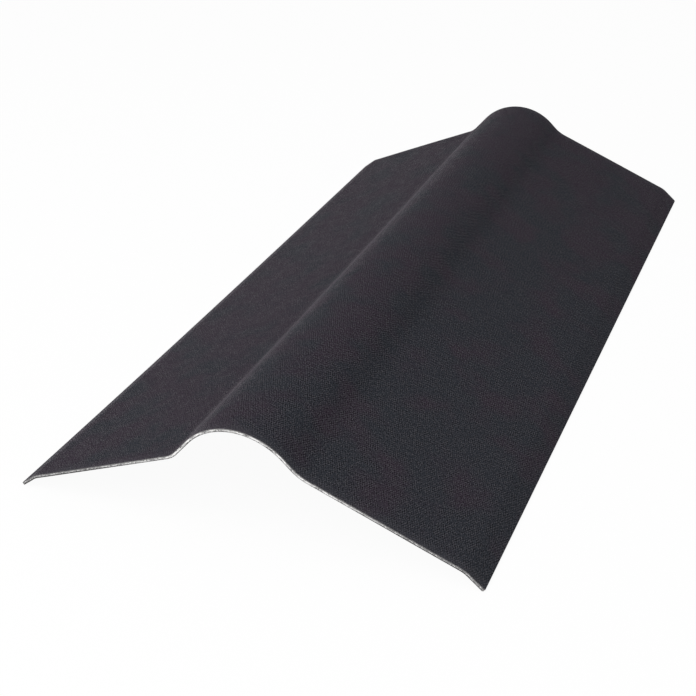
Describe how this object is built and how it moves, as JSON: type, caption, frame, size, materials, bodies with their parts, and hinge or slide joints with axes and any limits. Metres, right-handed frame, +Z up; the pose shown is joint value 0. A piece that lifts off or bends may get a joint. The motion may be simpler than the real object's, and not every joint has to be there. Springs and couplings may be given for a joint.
{
  "type": "roof ridge cap",
  "caption": "Dark pressed fibre-board roof ridge cap with a rounded central roll, straight sloping wings and steeper drip lips; it covers the joint along a roof's peak.",
  "frame": {"origin": "on the floor, under the middle of the cap, which lies on the lower edges of its lips", "axes": "+Y along the ridge, +X across it towards the right wing, +Z up"},
  "size_m": [0.485, 0.9, 0.1223],
  "materials": {
    "bitumen_board": "matt near-black colour coat over bitumen-saturated fibre board, with a fine canvas imprint and pale cut ends"
  },
  "bodies": {
    "root": {"ridge_cap": "bitumen_board"}
  },
  "joints": []
}
